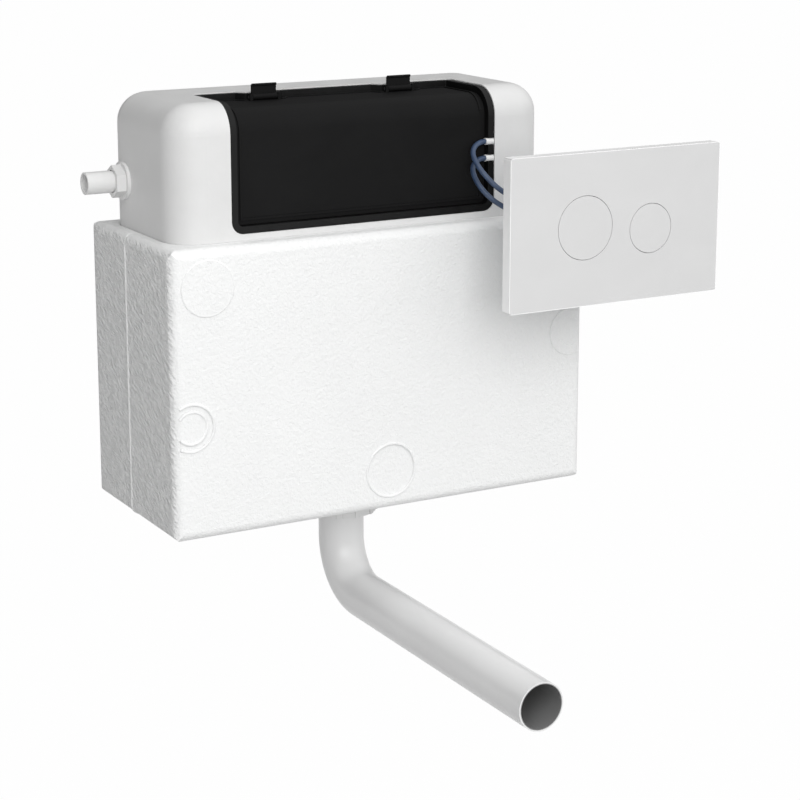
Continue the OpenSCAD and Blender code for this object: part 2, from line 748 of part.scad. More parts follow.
module valve_seat() color("white") at_outlet() difference() {
    union() {
        z_cyl(seat_z0, seat_z1, seat_r);
        z_cyl(seat_z1, seat_z1 + lip_h, lip_r + lip_w);
        z_cyl(tail_z, seat_z0, tail_r);
    }
    z_cyl(seat_z1, seat_z1 + lip_h + 1, lip_r);
    z_cyl(tail_z - 1, seat_z1 + 1, tail_bore_r);
}

module seat_washer() color("#202020") at_outlet() z_ring(floor_z, seat_z0, seat_r - 2, tail_r + slack);

module air_cup(side) at_piston(side) difference() {
    union() {
        z_cyl(cup_floor_z, cup_top_z, piston_bore_r + cup_wall);
        translate([0, 0, barb_z]) y_cyl(-piston_bore_r - cup_wall - barb_len, -piston_bore_r, barb_r);
    }
    z_cyl(cup_floor_z + cup_floor_t, cup_top_z + 1, piston_bore_r);
    translate([0, 0, barb_z]) y_cyl(-far, 0, barb_bore_r);
}

module valve_cage() color("#dfe4e8") {
    at_outlet() {
        z_ring(seat_z1, seat_z1 + cage_ring_h, cage_r, lip_r + lip_w + 4);
        for (turn = [45:90:315]) rotate(turn) translate([cage_post_r, 0, 0])
            translate([-cage_post[0] / 2, -cage_post[1] / 2, seat_z1 + cage_ring_h / 2])
            cube([cage_post[0], cage_post[1], cage_plate_z - seat_z1 - cage_ring_h / 2 + 1]);
        z_ring(cage_plate_z, cage_plate_z + cage_plate_t, cage_r + 1, overflow_r + slack);
    }
    for (side = [-1, 1]) air_cup(side);
}

module piston_caps() color("white") for (side = [-1, 1]) at_piston(side)
    z_ring(cup_top_z, cup_top_z + cup_cap_t, piston_bore_r + cup_wall, piston_rod_r + slack);

module piston(side, top) at_piston(side) {
    z_cyl(cup_floor_z + cup_floor_t + piston_rest, cup_floor_z + cup_floor_t + piston_rest + piston_head_t,
        piston_bore_r - clear);
    z_cyl(cup_floor_z + cup_floor_t, top, piston_rod_r);
}

module full_piston() color("#4a6fa5") piston(1, lifter_z - clear);
module half_piston() color("#7d9cc4") piston(-1, lifter_z - half_lift - clear);

module overflow_tube() color("white") at_outlet() difference() {
    union() {
        z_cyl(seal_rest_z - 2, tube_z0, tube_spigot_r);
        z_cyl(tube_z0, tube_z0 + tube_flange_t, tube_flange_r);
        z_cyl(tube_z0, overflow_z, overflow_r);
        z_cyl(lifter_z - shoulder_t, lifter_z, overflow_r + 1);
    }
    z_cyl(tube_z0 - flush_seal_t - 3, overflow_z + 1, tube_spigot_r - tube_wall);
    z_cyl(tube_z0 + tube_flange_t, overflow_z + 1, overflow_r - tube_wall);
}

module flush_seal() color("#b0402c") at_outlet() z_ring(seal_rest_z, tube_z0, flush_seal_r, tube_spigot_r);

// Collar on the overflow tube, with an arm over each piston
module lift_collar() color("#4a6fa5") at_outlet() difference() {
    union() {
        z_cyl(lifter_z, lifter_z + lifter_t, overflow_r + 5);
        translate([-piston_offset, -5, lifter_z]) cube([2 * piston_offset, 10, lifter_t]);
        for (side = [-1, 1]) translate([side * piston_offset, 0, 0])
            z_cyl(lifter_z, lifter_z + lifter_t, piston_rod_r + 3);
    }
    z_cyl(lifter_z - 1, lifter_z + lifter_t + 1, overflow_r + clear / 2);
}

module outlet_nut() color("whitesmoke") at_outlet() difference() {
    union() {
        z_cyl(tank_z0 - outlet_nut_t, tank_z0, outlet_nut_r - 3);
        for (turn = [0:45:315]) rotate(turn) translate([0, -5, tank_z0 - outlet_nut_t])
            cube([outlet_nut_r, 10, outlet_nut_t]);
    }
    z_cyl(tank_z0 - outlet_nut_t - 1, tank_z0 + 1, tail_r + clear / 2);
}

module pipe_seal() color("#202020") at_outlet()
    z_ring(tail_z - pipe_seal_t, tail_z, tail_r - slack, pipe_r + clear / 2);

module pipe_nut() color("whitesmoke") at_outlet() difference() {
    union() {
        z_cyl(tail_z - pipe_seal_t - pipe_nut_lip, tail_z + pipe_nut_skirt, tail_r + pipe_nut_wall);
        for (turn = [0:30:330]) rotate(turn) translate([0, -2.5, tail_z - pipe_seal_t - pipe_nut_lip])
            cube([tail_r + pipe_nut_wall + 1.2, 5, pipe_nut_lip + pipe_seal_t + pipe_nut_skirt]);
    }
    z_cyl(tail_z - pipe_seal_t, tail_z + pipe_nut_skirt + 1, tail_r + clear / 2);
    z_cyl(tail_z - far, tail_z, pipe_r + slack);
}

module flush_pipe() color("whitesmoke") {
    bend_z = pipe_run_z + pipe_bend_r;
    bend_y = outlet_y - pipe_bend_r;
    at_outlet() z_ring(bend_z, tail_z + pipe_insert, pipe_r, pipe_r - pipe_wall);
    translate([0, bend_y, bend_z]) rotate([0, 90, 0]) rotate_extrude(angle = 90)
        translate([pipe_bend_r, 0]) difference() {
            circle(pipe_r);
            circle(pipe_r - pipe_wall);
        }
    translate([0, 0, pipe_run_z]) y_ring(pipe_end_y, bend_y, pipe_r, pipe_r - pipe_wall);
}

module hose_elbows() color("whitesmoke") for (z = elbow_zs) translate([0, 0, z]) difference() {
    union() {
        translate([0, elbow_y, 0]) x_cyl(elbow_tip_x, hatch_x1 - 2 * clear, elbow_r);
        translate([elbow_x, 0, 0]) y_cyl(elbow_y, elbow_inner_y, elbow_stem_r);
        translate([elbow_x, 0, 0]) y_cyl(tank_y0 + ledge_in + tank_wall + clear,
            tank_y0 + ledge_in + tank_wall + clear + elbow_flange_t, elbow_flange_r);
    }
    translate([elbow_x, 0, 0]) y_cyl(elbow_y - 0.5, elbow_inner_y + 1, barb_bore_r);
    translate([0, elbow_y, 0]) x_cyl(elbow_tip_x - 1, elbow_x + 0.5, barb_bore_r + 0.2);
}

// Tube swept along a route: one ring of points at each route point, square to the path
function unit(v) = v / norm(v);
function heading(route, i, leaves, arrives) = i == 0 ? leaves : i == len(route) - 1 ? arrives :
    unit(route[i + 1] - route[i - 1]);
function side_of(t) = unit(cross(t, [0.13, 0.21, 1]));
function ring_at(p, t, r) = [for (k = [0:hose_sides - 1])
    p + r * cos(360 * k / hose_sides) * side_of(t) + r * sin(360 * k / hose_sides) * cross(t, side_of(t))];

// The ends are square to the connectors, along the given directions
module hose(route, leaves, arrives) {
    last = len(route) - 1;
    points = [for (i = [0:last]) each ring_at(route[i], heading(route, i, leaves, arrives), hose_r)];
    start_cap = [for (k = [0:hose_sides - 1]) k];
    end_cap = [for (k = [hose_sides - 1:-1:0]) last * hose_sides + k];
    walls = [for (i = [0:last - 1], k = [0:hose_sides - 1])
        let (a = i * hose_sides + k, b = i * hose_sides + (k + 1) % hose_sides)
            each [[a, a + hose_sides, b], [b, a + hose_sides, b + hose_sides]]];
    polyhedron(points, concat([start_cap], [end_cap], walls));
}

module hose_half() color("#3a5073") hose(half_route, [-1, 0, 0], [0, -1, 0]);
module hose_full() color("#3a5073") hose(full_route, [-1, 0, 0], [0, -1, 0]);
module inner_hose_half() color("#3a5073") hose(inner_half_route, [0, 1, 0], [0, 1, 0]);
module inner_hose_full() color("#3a5073") hose(inner_full_route, [0, 1, 0], [0, 1, 0]);

module plate_block(inset, y0, y1) translate([plate_x, y1, plate_z]) rotate([90, 0, 0]) linear_extrude(y1 - y0)
    round_rect(-plate_w / 2 + inset, -plate_h / 2 + inset, plate_w / 2 - inset, plate_h / 2 - inset,
        max(plate_r - inset, 0.5));

module flush_plate() color("gainsboro") difference() {
    union() {
        difference() {
            plate_block(0, plate_y, plate_back_y);
            plate_block(plate_skin, plate_y + plate_skin, plate_back_y + 1);
        }
        at_full() y_cyl(plate_y, collar_y, full_button_r + button_gap + collar_wall);
        at_half() y_cyl(plate_y, collar_y, half_button_r + button_gap + collar_wall);
        for (sx = [0, 1], sz = [0, 1]) translate([plate_x, plate_y + 1, plate_z]) mirror([sx, 0, 0])
            mirror([0, 0, sz])
            translate([plate_w / 2 - plate_skin - post_w, 0, plate_h / 2 - plate_skin - post_w])
            cube([post_w + 1, frame_y - plate_y - 1, post_w + 1]);
    }
    at_full() y_cyl(plate_y - 1, plate_back_y, full_button_r + button_gap);
    at_half() y_cyl(plate_y - 1, plate_back_y, half_button_r + button_gap);
}

function cup_r(stem_r) = stem_r + cup_room + pump_wall;
function screw_circle_r(stem_r) = cup_r(stem_r) + pump_screw_head_r + clear;
function flange_r(stem_r) = screw_circle_r(stem_r) + pump_screw_head_r + pump_rim;

module screw_places(stem_r) for (k = [0:pump_screws_n - 1]) rotate([0, 360 * k / pump_screws_n + 30, 0])
    translate([screw_circle_r(stem_r), 0, 0]) children();

module plate_frame() color("lightgray") difference() {
    plate_block(plate_skin + frame_room, frame_y, plate_back_y);
    at_full() y_cyl(frame_y - 1, plate_back_y + 1, full_stem_r + 2);
    at_half() y_cyl(frame_y - 1, plate_back_y + 1, half_stem_r + 2);
    at_full() screw_places(full_stem_r) y_cyl(frame_y - 1, plate_back_y + 1, pump_screw_r + clear);
    at_half() screw_places(half_stem_r) y_cyl(frame_y - 1, plate_back_y + 1, pump_screw_r + clear);
    for (side = [-1, 1]) translate([plate_x + side * frame_hole_pitch / 2, 0, plate_z])
        y_cyl(frame_y - 1, plate_back_y + 1, frame_hole_r);
}

module flush_button(r, stem_r) {
    y_cyl(plate_y, plate_y + button_t, r);
    y_ring(plate_y + button_t - 1, stem_end_y, stem_r, stem_r - stem_wall);
}

module full_flush_button() color("gainsboro") at_full() flush_button(full_button_r, full_stem_r);
module half_flush_button() color("gainsboro") at_half() flush_button(half_button_r, half_stem_r);

module pump_cup(stem_r) difference() {
    union() {
        y_cyl(plate_back_y, plate_back_y + pump_flange_t, flange_r(stem_r));
        y_cyl(plate_back_y, plate_back_y + pump_depth + pump_floor_t, cup_r(stem_r));
        y_cyl(plate_back_y + pump_depth, pump_end_y, barb_r);
    }
    y_cyl(plate_back_y - 1, plate_back_y + pump_depth, stem_r + cup_room);
    y_cyl(plate_back_y, pump_end_y + 1, barb_bore_r);
    screw_places(stem_r) y_cyl(plate_back_y - 1, plate_back_y + pump_flange_t + 1, pump_screw_r + clear);
}

module full_pump_cup() color("#9aa3ab") at_full() pump_cup(full_stem_r);
module half_pump_cup() color("#9aa3ab") at_half() pump_cup(half_stem_r);

// Rubber bellows with straight-sided folds, open at its rear where it sits on the cup's floor
module bellows(stem_r) {
    length = plate_back_y + pump_depth - stem_end_y - clear;
    pitch = (length - bellows_wall) / bellows_folds;
    out_r = stem_r + 1;
    in_r = stem_r - 4;
    outer = [for (k = [0:bellows_folds - 1]) each [[in_r, k * pitch], [out_r, (k + 0.5) * pitch]]];
    inner = [for (p = outer) [p[0] - bellows_wall, p[1]]];
    rear = bellows_folds * pitch;
    section = concat([[0, length]], [[in_r, length]], [[in_r, rear]],
        [for (k = [len(outer) - 1:-1:0]) outer[k]], inner, [[in_r - bellows_wall, rear]], [[0, rear]]);
    translate([0, plate_back_y + pump_depth, 0]) rotate([90, 0, 0]) rotate_extrude() polygon(section);
}

module full_bellows() color("#2b2b2b") at_full() bellows(full_stem_r);
module half_bellows() color("#2b2b2b") at_half() bellows(half_stem_r);

module pump_screw() {
    y_cyl(plate_back_y + pump_flange_t, plate_back_y + pump_flange_t + pump_screw_head_t, pump_screw_head_r);
    y_cyl(frame_y, plate_back_y + pump_flange_t, pump_screw_r);
}

module pump_screws() color("silver") {
    at_full() screw_places(full_stem_r) pump_screw();
    at_half() screw_places(half_stem_r) pump_screw();
}

tank();
jacket_front();
jacket_rear();
cover_seal();
access_cover();
clip_left();
clip_right();
clip_pins();
inlet_nut();
inlet_washer();
inlet_seal();
fill_valve_body();
fill_valve_diaphragm();
fill_valve_cap();
valve_plunger();
float_arm();
arm_pin();
float();
float_rod();
fill_tube();
valve_seat();
seat_washer();
valve_cage();
overflow_tube();
flush_seal();
lift_collar();
full_piston();
half_piston();
piston_caps();
outlet_nut();
pipe_nut();
pipe_seal();
flush_pipe();
hose_elbows();
inner_hose_full();
inner_hose_half();
hose_full();
hose_half();
flush_plate();
plate_frame();
full_flush_button();
half_flush_button();
full_pump_cup();
half_pump_cup();
full_bellows();
half_bellows();
pump_screws();
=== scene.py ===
"""Looks of a concealed toilet cistern: finishes, hoses, bellows, foam beads, clips, screws and studio."""

import json
import math

import bmesh
import bpy
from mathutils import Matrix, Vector


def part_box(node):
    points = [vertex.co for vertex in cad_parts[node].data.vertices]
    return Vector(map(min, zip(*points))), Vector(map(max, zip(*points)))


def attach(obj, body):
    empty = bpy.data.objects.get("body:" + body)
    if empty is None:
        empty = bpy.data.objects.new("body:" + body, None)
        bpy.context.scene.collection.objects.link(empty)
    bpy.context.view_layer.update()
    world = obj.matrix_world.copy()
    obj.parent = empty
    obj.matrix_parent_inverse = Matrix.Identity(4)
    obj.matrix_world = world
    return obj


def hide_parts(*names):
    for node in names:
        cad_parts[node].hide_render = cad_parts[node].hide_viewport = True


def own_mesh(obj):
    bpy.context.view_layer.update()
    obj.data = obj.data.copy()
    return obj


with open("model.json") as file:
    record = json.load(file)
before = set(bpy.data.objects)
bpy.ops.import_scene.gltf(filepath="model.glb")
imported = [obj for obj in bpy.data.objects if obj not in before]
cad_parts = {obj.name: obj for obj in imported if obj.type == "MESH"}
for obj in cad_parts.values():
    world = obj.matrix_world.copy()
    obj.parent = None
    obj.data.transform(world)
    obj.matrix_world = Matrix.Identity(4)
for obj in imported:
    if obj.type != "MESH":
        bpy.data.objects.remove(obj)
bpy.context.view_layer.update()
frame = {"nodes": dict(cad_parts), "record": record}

JACKET_LOW, JACKET_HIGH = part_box("jacket_rear")


# Camera, from the photograph's solved view

SENSOR_WIDTH = 36
PHOTO_PIXELS = 800
FOCAL_PIXELS = 2136
CAMERA_SHIFT = -0.1
CAMERA_PLACE = (-0.946, -1.901, 0.487)
CAMERA_DOWN = 12.59
CAMERA_RIGHT = 29.26


def set_camera():
    data = bpy.data.cameras.new("photo_camera")
    data.sensor_width = SENSOR_WIDTH
    data.lens = SENSOR_WIDTH * FOCAL_PIXELS / PHOTO_PIXELS
    data.shift_y = CAMERA_SHIFT
    data.clip_end = 100
    camera = bpy.data.objects.new("photo_camera", data)
    camera.location = CAMERA_PLACE
    camera.rotation_euler = (math.radians(90 - CAMERA_DOWN), 0, math.radians(-CAMERA_RIGHT))
    bpy.context.scene.collection.objects.link(camera)
    bpy.context.scene.camera = camera


set_camera()


# Shader values and finishes

NOISE_SPAN = (0.3, 0.7)
MIX_SHARE, MIX_FIRST, MIX_SECOND, MIX_COLOUR = 0, 6, 7, 2


class Value:
    """One shader value. Arithmetic on it adds Math nodes to its tree."""

    def __init__(self, finish, socket):
        self.finish = finish
        self.socket = socket

    def math(self, operation, *others, clamp=False):
        return self.finish.add("ShaderNodeMath", {"operation": operation, "use_clamp": clamp},
                               dict(enumerate((self, *others))))

    def __add__(self, other):
        return self.math("ADD", other)

    def __sub__(self, other):
        return self.math("SUBTRACT", other)

    def __rsub__(self, other):
        return self * -1.0 + other

    def __mul__(self, other):
        return self.math("MULTIPLY", other)

    __radd__ = __add__
    __rmul__ = __mul__

    def clamp(self):
        return self.math("ADD", 0.0, clamp=True)


class Finish:
    """A material being made: its tree, and one method that adds any node to it."""

    def __init__(self, name, **shader):
        self.material = bpy.data.materials.new(name)
        self.material.use_nodes = True
        self.tree = self.material.node_tree
        self.shader = self.tree.nodes["Principled BSDF"]
        self.set(**shader)

    def feed(self, socket, value):
        if isinstance(value, Value):
            self.tree.links.new(value.socket, socket)
        else:
            socket.default_value = value

    def set(self, **inputs):
        for key, value in inputs.items():
            self.feed(self.shader.inputs[key.replace("_", " ")], value)

    def add(self, kind, settings=None, inputs=None, output=0):
        node = self.tree.nodes.new(kind)
        for key, value in (settings or {}).items():
            setattr(node, key, value)
        for key, value in (inputs or {}).items():
            self.feed(node.inputs[key], value)
        return Value(self, node.outputs[output])

    def place(self, scale=(1, 1, 1), turn=(0, 0, 0), mapping="POINT"):
        """Object coordinates. A TEXTURE mapping draws the pattern out along turned axes."""
        point = self.add("ShaderNodeTexCoord", output="Object")
        return self.add("ShaderNodeMapping", {"vector_type": mapping},
                        {"Vector": point, "Scale": scale, "Rotation": turn})

    def noise(self, scale, detail, roughness, distortion=0.0, place=None):
        return self.add("ShaderNodeTexNoise", inputs={
            "Vector": place or self.place(), "Scale": scale, "Detail": detail, "Roughness": roughness,
            "Distortion": distortion})

    def cells(self, scale):
        return self.add("ShaderNodeTexVoronoi", {"feature": "SMOOTH_F1"}, {
            "Vector": self.place(), "Scale": scale})

    def range(self, value, low, high, to_low=0.0, to_high=1.0):
        return self.add("ShaderNodeMapRange", {"clamp": True}, {
            "Value": value, "From Min": low, "From Max": high, "To Min": to_low, "To Max": to_high})

    def spread(self, noise, low=0.0, high=1.0):
        """The span where most of a noise lies, stretched from low to high."""
        return self.range(noise, *NOISE_SPAN, low, high)

    def blend(self, share, first, second):
        """A mix of two colours, each a value or plain red, green and blue."""
        first, second = (colour if isinstance(colour, Value) else (*colour, 1) for colour in (first, second))
        return self.add("ShaderNodeMix", {"data_type": "RGBA"}, {
            MIX_SHARE: share, MIX_FIRST: first, MIX_SECOND: second}, MIX_COLOUR)

    def split(self):
        """X, Y and Z of the point on the object."""
        node = self.add("ShaderNodeSeparateXYZ", inputs={0: self.place()}).socket.node
        return [Value(self, socket) for socket in node.outputs]

    def bump(self, height, depth, strength=1.0):
        self.set(Normal=self.add("ShaderNodeBump", inputs={
            "Height": height, "Distance": depth, "Strength": strength}))


def grey(level):
    return (level, level, level)


def moulded_grain(f, rough, grain, depth):
    """Flow marks in the gloss and a fine spark-eroded grain. Gives the flow marks back for the colour."""
    flow = f.noise(14, 4, 0.55, 0.8)
    fine = f.noise(grain, 2, 0.5)
    f.set(Roughness=f.spread(flow * 0.6 + fine * 0.4, rough - 0.05, rough + 0.06))
    f.bump(fine + flow * 0.6, depth)
    return f.spread(flow)


def moulded_plastic(name, dark, light, rough, grain=900, depth=0.00006, shine=0.5):
    """Injection-moulded plastic with faint flow marks in its colour."""
    f = Finish(name, Specular_IOR_Level=shine)
    flow = moulded_grain(f, rough, grain, depth)
    f.set(Base_Color=f.blend(flow, dark, light))
    return f.material


def plate_plastic(rim_depth=0.0006):
    """The plate's satin plastic, with a painted highlight: much paler on its cut rim."""
    f = Finish("plate_white", Specular_IOR_Level=0.4)
    low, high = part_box("flush_plate")
    x, _, z = f.split()
    from_sides = (x - low.x).math("MINIMUM", high.x - x)
    from_ends = (z - low.z).math("MINIMUM", high.z - z)
    # Painted highlight: the cut rim, within rim_depth of the plate's sides and ends, is coloured near white.
    painted_rim_highlight = from_sides.math("MINIMUM", from_ends).math("LESS_THAN", rim_depth)
    flow = moulded_grain(f, 0.4, 1100, 0.00003)
    face = f.blend(flow, grey(0.635), grey(0.655))
    f.set(Base_Color=f.blend(painted_rim_highlight, face, grey(0.93)))
    return f.material


def tank_shell():
    """Blow-moulded tank: soft satin white, slightly wavy walls and a faint orange peel."""
    f = Finish("tank_shell", Specular_IOR_Level=0.42)
    sag = f.noise(7, 2, 0.5)
    peel = f.noise(420, 2, 0.5)
    mottle = f.noise(38, 3, 0.6)
    tone = f.range(mottle * 0.5 + sag * 0.5, 0.35, 0.65)
    f.set(Base_Color=f.blend(tone, (0.675, 0.675, 0.672), (0.71, 0.71, 0.708)),
          Roughness=f.spread(mottle, 0.4, 0.5))
    f.bump(peel * 0.35 + sag * 2.0, 0.00016)
    return f.material


def beaded_foam(fade=0.0035, full=0.0001, past=0.0002, slant=26):
    """Moulded foam: a lumpy skin over beads pressed flat, and slanting streaks on the jacket's two sides,
    bumped and also painted into the colour as the light and shade of raking light on the grain.

    The streaks fade in just before a side, are full a little before it and end a little past it.
    """
    f = Finish("beaded_foam", Specular_IOR_Level=0.2)
    half_width = JACKET_HIGH.x
    reach = f.split()[0].math("ABSOLUTE")
    near_side = f.range(reach, half_width - fade, half_width - full)
    side = near_side * reach.math("LESS_THAN", half_width + past)
    along = f.place((1, 3, 1), (math.radians(slant), 0, 0), "TEXTURE")
    streak = f.noise(330, 2.5, 0.6, 0.3, along)
    skin = f.noise(480, 2.5, 0.55, 0.6)
    bead = f.cells(240)
    patch = f.noise(11, 3, 0.6)
    # Painted light and shade: on the sides the streaks also lighten and darken the colour, as raking light
    # would on the grain.
    grain = f.range(streak, 0.35, 0.65) * side
    tone = (skin * 0.5 + patch * 0.5 + (grain - side * 0.5) * 2.4).clamp()
    f.set(Base_Color=f.blend(tone, (0.80, 0.805, 0.803), (0.885, 0.888, 0.886)),
          Roughness=f.spread(skin, 0.66, 0.82))
    f.bump(skin * 0.5 + (streak - 0.5) * (side * 2.6 + 0.35) - bead * 0.3, 0.0016, 0.9)
    return f.material


def flush_pipe_wall(white_edge=0.0013, bend_end=-0.141):
    """Extruded pipe: glossy white outside with faint draw lines along it, and painted shade: dark grey in
    the bore.
    """
    f = Finish("flush_pipe_wall", Specular_IOR_Level=0.5, Coat_Weight=0.2, Coat_Roughness=0.15)
    low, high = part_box("flush_pipe")
    pipe_radius = (high.x - low.x) / 2
    x, y, z = f.split()
    drop = z - (low.z + pipe_radius)
    from_axis = (x * x + drop * drop).math("SQRT")
    # Painted shade: inside the white cut edge and ahead of the bend, the bore is coloured dark grey.
    bore_painted_shade = from_axis.math("LESS_THAN", pipe_radius - white_edge) * y.math("LESS_THAN", bend_end)
    draw = f.noise(420, 2, 0.5, place=f.place((1, 0.06, 1)))
    flow = f.noise(9, 3, 0.5)
    outside = f.blend(f.spread(flow), grey(0.73), grey(0.77))
    f.set(Base_Color=f.blend(bore_painted_shade, outside, grey(0.22)),
          Roughness=f.spread(draw * 0.5 + flow * 0.5, 0.3, 0.4))
    f.bump(draw, 0.00003)
    return f.material


def rubber(name, dark, light, rough, shine=0.3):
    """Moulded rubber: dusty bloom in patches and a fine matt tooth."""
    f = Finish(name, Specular_IOR_Level=shine)
    bloom = f.noise(45, 4, 0.6)
    tooth = f.noise(1400, 2, 0.5)
    f.set(Base_Color=f.blend(f.range(bloom, 0.4, 0.75), dark, light),
          Roughness=f.spread(bloom, rough - 0.08, rough + 0.08))
    f.bump(tooth, 0.00009)
    return f.material


def hose_skin():
    """Extruded hose: dark blue, glossier in fine spots."""
    f = Finish("hose_skin", Specular_IOR_Level=0.45)
    tone = f.noise(120, 3, 0.5)
    fine = f.noise(700, 2, 0.4)
    f.set(Base_Color=f.blend(f.spread(tone), (0.030, 0.052, 0.105), (0.052, 0.085, 0.155)),
          Roughness=f.spread(fine, 0.3, 0.46))
    f.bump(fine, 0.00005)
    return f.material


def drawn_steel():
    """Plain steel pins and screws with fine turning lines."""
    f = Finish("drawn_steel", Metallic=1.0)
    lines = f.noise(260, 3, 0.6, place=f.place((1, 14, 1)))
    f.set(Base_Color=f.blend(lines, (0.42, 0.42, 0.43), (0.62, 0.62, 0.63)),
          Roughness=f.spread(lines, 0.24, 0.42))
    f.bump(lines, 0.00003)
    return f.material


FINISHES = {
    "tank_white": tank_shell(),
    "foam_white": beaded_foam(),
    "seal_black": rubber("seal_black", (0.004, 0.004, 0.004), (0.007, 0.007, 0.0072), 0.48, 0.22),
    "cover_black": moulded_plastic("cover_black", (0.0085, 0.0085, 0.0087), (0.0105, 0.0105, 0.0107), 0.55,
                                   700, 0.00008, 0.06),
    "steel": drawn_steel(),
    "fitting_white": moulded_plastic("fitting_white", (0.72, 0.72, 0.716), (0.77, 0.77, 0.766), 0.36),
    "fitting_grey": moulded_plastic("fitting_grey", (0.30, 0.32, 0.34), (0.36, 0.38, 0.40), 0.42),
    "float_white": moulded_plastic("float_white", (0.70, 0.70, 0.66), (0.78, 0.78, 0.74), 0.55, 500, 0.0001),
    "lift_blue": moulded_plastic("lift_blue", (0.045, 0.11, 0.30), (0.06, 0.14, 0.36), 0.4),
    "seal_red": rubber("seal_red", (0.30, 0.05, 0.03), (0.38, 0.075, 0.045), 0.55),
    "pipe_white": flush_pipe_wall(),
    "hose_blue": hose_skin(),
    "plate_white": plate_plastic(),
}
SLOT_OF = {part["node"]: part["material_slot"] for part in frame["record"]["subparts"]}


def dress(obj, slot):
    obj.data.materials.clear()
    obj.data.materials.append(FINISHES[slot])


# Helpers for the pieces made here

WELD = 1e-6


def on_ring(centre, y, radius, angle):
    """A place on a circle round a line through the centre that runs front to back."""
    return (centre.x + radius * math.cos(angle), y, centre.z + radius * math.sin(angle))


def smooth_piece(name, data, sharp=40):
    """A piece of this mesh, smooth but for edges that turn by more than so many degrees."""
    data.shade_smooth()
    data.set_sharp_from_angle(angle=math.radians(sharp))
    piece = bpy.data.objects.new(name, data)
    bpy.context.scene.collection.objects.link(piece)
    return piece


def built_piece(name, mesh, sharp=40):
    data = bpy.data.meshes.new(name)
    mesh.to_mesh(data)
    mesh.free()
    return smooth_piece(name, data, sharp)


# Air hoses, along the same routes as the solids: length, way out, way in and places (millimetres)

HOSE_DIAMETER = 0.005
ROUTES = {
    "hose_half": (0.2115, (-1, 0, 0), (0, -1, 0), [
        (119, -166.6, 208), (111.2, -167.7, 206.9), (104.5, -171, 203.9), (100.1, -175.8, 199.4),
        (98.5, -181.6, 194), (99.5, -187.5, 187.5), (104, -194.5, 178.5), (111, -201.5, 169.5),
        (121.5, -208, 161), (137, -213, 153), (157, -216, 146), (179, -217, 140), (198, -217, 135),
        (213.2, -217.5, 132.4), (221, -219.1, 131.8), (227.7, -223.5, 131.5), (232.1, -230.2, 131.5),
        (233.7, -238, 131.5)]),
    "hose_full": (0.1355, (-1, 0, 0), (0, -1, 0), [
        (119, -166.6, 192), (115, -166.9, 191.7), (111.2, -167.7, 190.9), (104.5, -171, 187.9),
        (100.1, -175.8, 183.4), (98.5, -181.6, 177.6), (99.5, -188, 170.5), (103.5, -194.8, 162.5),
        (110.5, -201.2, 155), (120, -207, 148.5), (132, -211.5, 143.5), (143, -214.6, 140),
        (152, -219.6, 138.4), (157.8, -227.2, 138), (159.7, -238, 138)]),
    "inner_hose_half": (0.2745, (0, 1, 0), (0, 1, 0), [
        (124, -146, 208), (123.1, -138.1, 206.8), (120.4, -131.5, 203.2), (116.4, -127.1, 197.9),
        (111.7, -125.5, 191.6), (103, -126, 180), (91, -127.5, 163), (77, -130, 144), (60, -133.5, 121),
        (42, -138, 97), (24, -142, 73), (8, -144, 52.5), (-6.5, -143, 36.5), (-19.5, -138, 26.5),
        (-27.5, -129.5, 23), (-30, -120, 22.5), (-30, -114, 22.5)]),
    "inner_hose_full": (0.2270, (0, 1, 0), (0, 1, 0), [
        (124, -146, 192), (124, -138.1, 190.4), (124, -131.5, 186), (123.7, -127.1, 179.3),
        (121.8, -125, 170), (117, -124, 155), (108, -125.5, 130), (97, -129, 105), (84, -133, 82),
        (70, -136.5, 61), (56.5, -138.5, 44.5), (44.5, -136.5, 32), (35.6, -131, 25.5), (31.2, -123.5, 23),
        (30, -114, 22.5)]),
}


def smooth_path(points, leaves, arrives, steps=6):
    """Points of a smooth curve through the route's points, square to the connectors at both ends."""
    before = points[1] - 2 * (points[1] - points[0]).length * Vector(leaves)
    after = points[-2] + 2 * (points[-1] - points[-2]).length * Vector(arrives)
    ends = [before, *points, after]
    path = []
    for a, b, c, d in zip(ends, ends[1:], ends[2:], ends[3:]):
        for k in range(steps):
            t = k / steps
            path.append(0.5 * (2 * b + (c - a) * t + (2 * a - 5 * b + 4 * c - d) * t * t
                               + (3 * b - a - 3 * c + d) * t * t * t))
    return path + [points[-1]]


def make_hose(name, length, leaves, arrives, route):
    points = [Vector(place) / 1000 for place in route]
    curve = bpy.data.curves.new(name + "_tube", "CURVE")
    curve.dimensions = "3D"
    curve.bevel_depth = HOSE_DIAMETER / 2
    curve.bevel_resolution = 5
    curve.use_fill_caps = True
    path = smooth_path(points, leaves, arrives)
    line = curve.splines.new("POLY")
    line.points.add(len(path) - 1)
    for point, place in zip(line.points, path):
        point.co = (*place, 1)
    hose = bpy.data.objects.new(name + "_tube", curve)
    bpy.context.scene.collection.objects.link(hose)
    dress(hose, "hose_blue")
    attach(hose, "cistern")
    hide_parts(name)


for hose_name, hose_run in ROUTES.items():
    make_hose(hose_name, *hose_run)


# Rubber bellows behind the buttons

def turn_profile(name, centre, profile, sides=72):
    """A closed piece turned front to back: profile is a closed loop of (radius, y) points."""
    mesh = bmesh.new()
    rings = []
    for k in range(sides):
        angle = 2 * math.pi * k / sides
        rings.append([mesh.verts.new(on_ring(centre, y, radius, angle)) for radius, y in profile])
    for ring, after in zip(rings, rings[1:] + rings[:1]):
        for i in range(len(profile)):
            j = (i + 1) % len(profile)
            mesh.faces.new((ring[i], ring[j], after[j], after[i]))
    bmesh.ops.remove_doubles(mesh, verts=mesh.verts, dist=WELD)
    bmesh.ops.recalc_face_normals(mesh, faces=mesh.faces)
    return built_piece(name, mesh)


